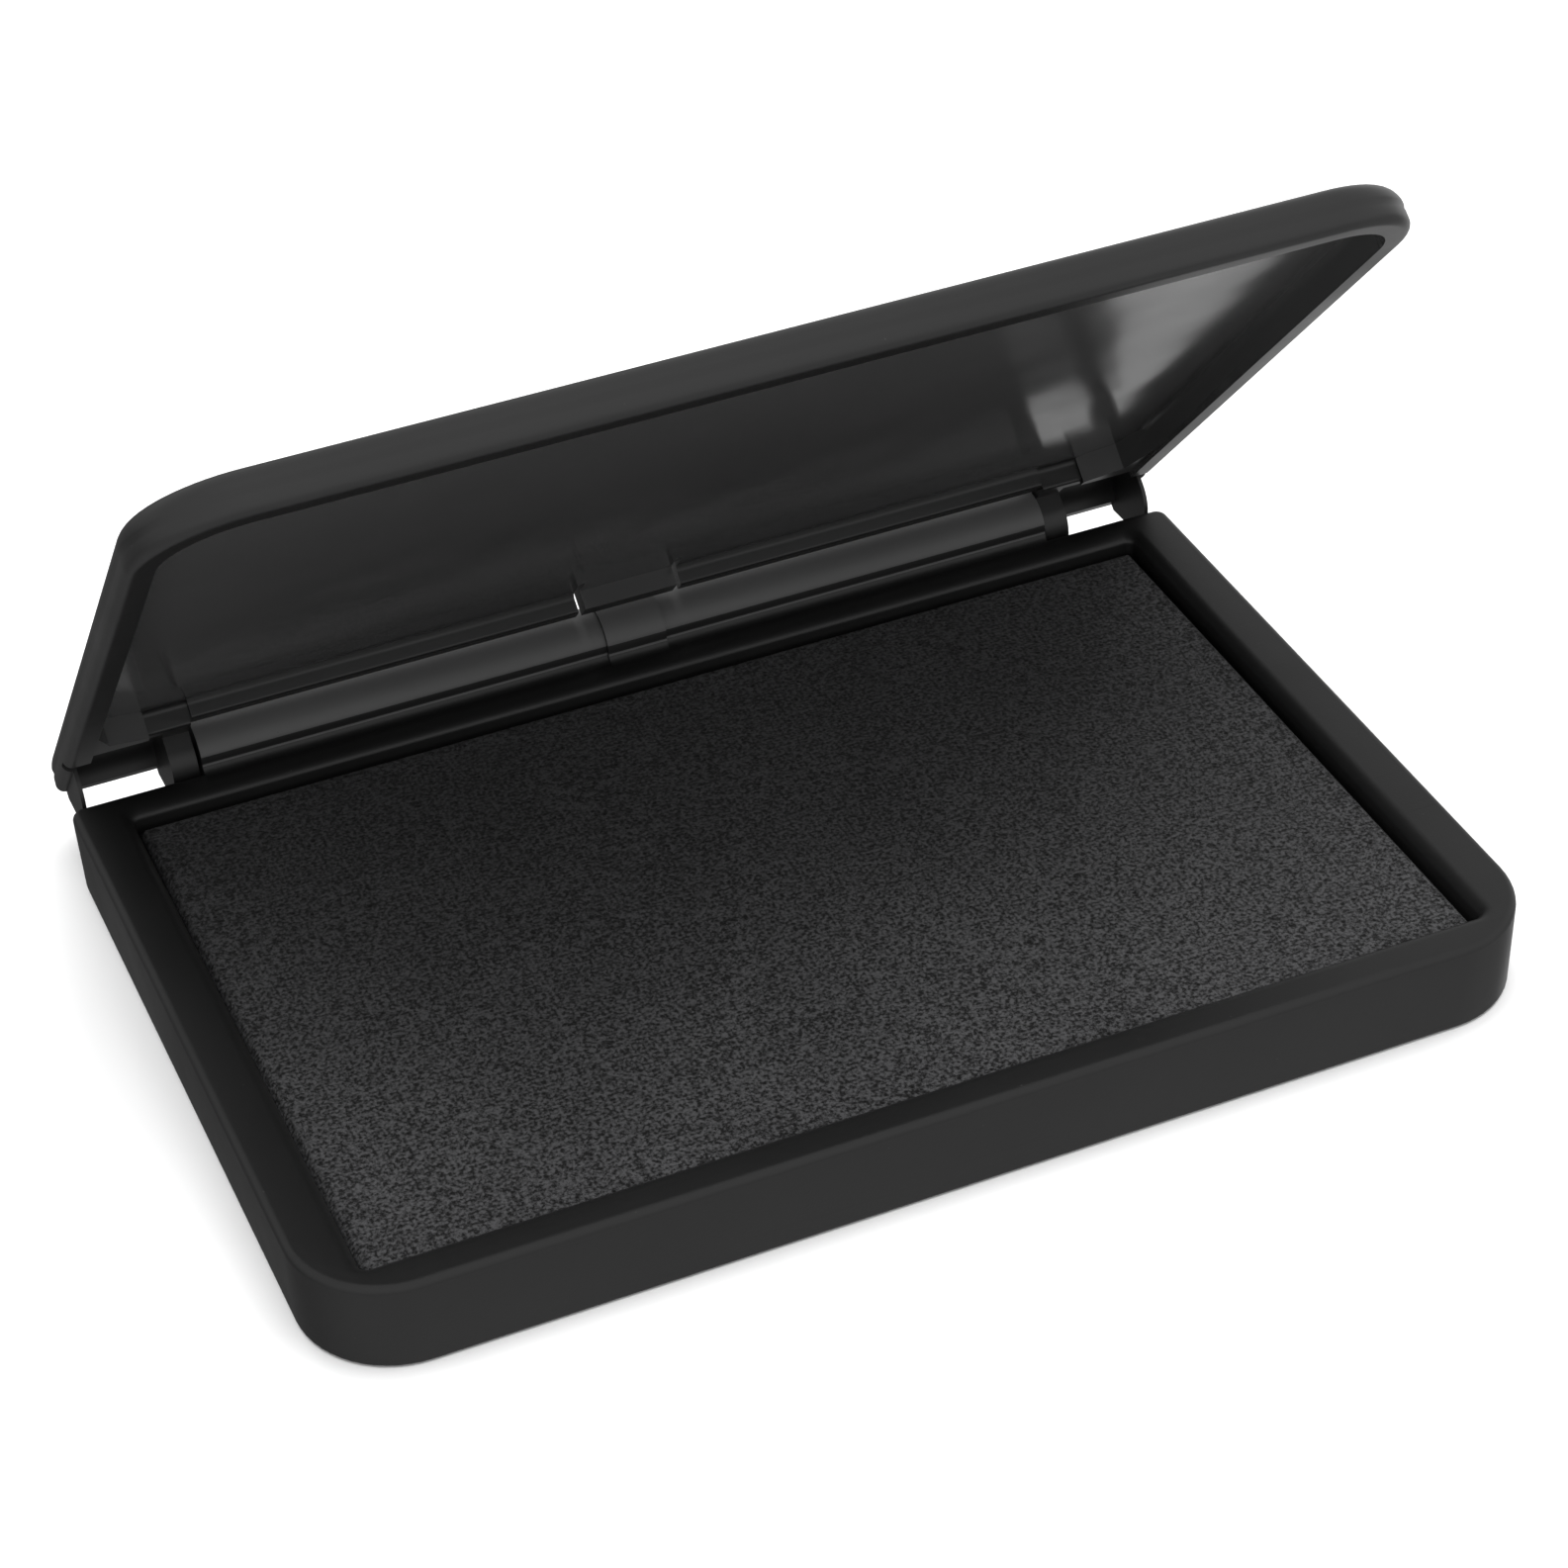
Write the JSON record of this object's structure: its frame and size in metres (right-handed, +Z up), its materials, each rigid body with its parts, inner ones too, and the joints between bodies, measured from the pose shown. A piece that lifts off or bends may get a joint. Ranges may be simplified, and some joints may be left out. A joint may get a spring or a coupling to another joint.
{
  "type": "ink pad",
  "caption": "Hinged ink pad: a shallow rectangular tray holding an inked cloth pad under a lid that swings on moulded pins.",
  "frame": {"origin": "centre of the flat underside of the tray, on the surface it stands on", "axes": "+Z up, +X along the long side to the right, +Y towards the hinge at the back"},
  "size_m": [0.12, 0.0872, 0.0736],
  "materials": {
    "tray_plastic": "satin black moulded plastic",
    "board_plastic": "plain matt backing board",
    "felt_wool": "dense felt soaked in black ink",
    "inked_cloth": "fine woven cloth soaked in black ink",
    "lid_plastic": "black moulded plastic, satin outside and polished inside"
  },
  "bodies": {
    "tray": {"base_tray": "tray_plastic", "pad_board": "board_plastic", "felt_core": "felt_wool", "ink_cloth": "inked_cloth"},
    "lid": {"lid_shell": "lid_plastic"}
  },
  "joints": [
    {"name": "lid_hinge", "type": "hinge", "parent": "tray", "child": "lid", "pos_m": [0, 0.043, 0.0089], "axis": [-1, 0, 0], "range_deg": [-47.6, 87.4]}
  ]
}
